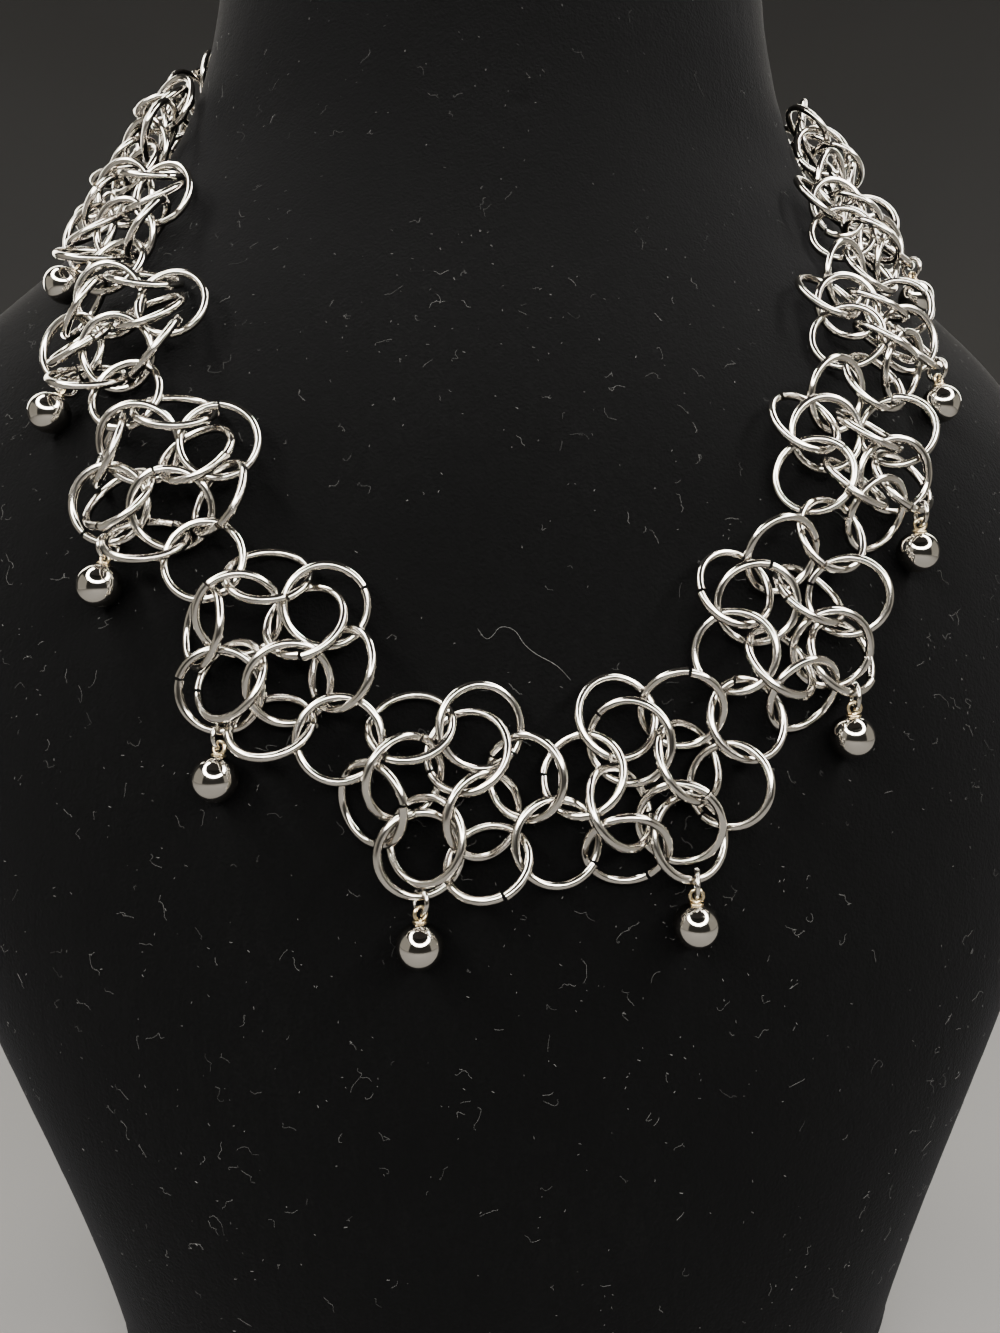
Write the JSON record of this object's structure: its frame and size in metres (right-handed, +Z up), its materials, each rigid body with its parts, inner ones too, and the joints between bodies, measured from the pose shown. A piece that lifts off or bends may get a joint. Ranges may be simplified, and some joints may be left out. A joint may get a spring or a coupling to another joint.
{
  "type": "chainmail necklace on a neck bust",
  "caption": "Chainmail necklace of linked round wire rings with small ball drops, closed by a barrel clasp, resting on a flat-based velvet neck bust.",
  "frame": {"origin": "middle of the bust's flat base", "axes": "+Z up the neck, -Y out of the chest to the front, X across the shoulders with +X to the viewer's right"},
  "size_m": [0.1988, 0.1447, 0.25],
  "materials": {
    "velvet": "black short-pile velvet",
    "ring_steel": "polished, with fine scratches",
    "ball_steel": "mirror polished",
    "clasp_steel": "polished",
    "collar_brass": "polished, on the collar of each ball drop"
  },
  "bodies": {
    "root": {"neck_bust": "velvet", "chain_left": "ring_steel", "chain_right": "ring_steel", "clasp": "clasp_steel", "drop_ring_01": "ring_steel", "drop_ring_02": "ring_steel", "drop_ring_03": "ring_steel", "drop_ring_04": "ring_steel", "drop_ring_05": "ring_steel", "drop_ring_06": "ring_steel", "drop_ring_07": "ring_steel", "drop_ring_08": "ring_steel", "drop_ring_09": "ring_steel", "drop_ring_10": "ring_steel", "drop_ring_11": "ring_steel", "drop_ring_12": "ring_steel", "drop_ring_13": "ring_steel", "drop_ring_14": "ring_steel", "ball_drop_01": "ball_steel", "ball_drop_02": "ball_steel", "ball_drop_03": "ball_steel", "ball_drop_04": "ball_steel", "ball_drop_05": "ball_steel", "ball_drop_06": "ball_steel", "ball_drop_07": "ball_steel", "ball_drop_08": "ball_steel", "ball_drop_09": "ball_steel", "ball_drop_10": "ball_steel", "ball_drop_11": "ball_steel", "ball_drop_12": "ball_steel", "ball_drop_13": "ball_steel", "ball_drop_14": "ball_steel"}
  },
  "joints": []
}
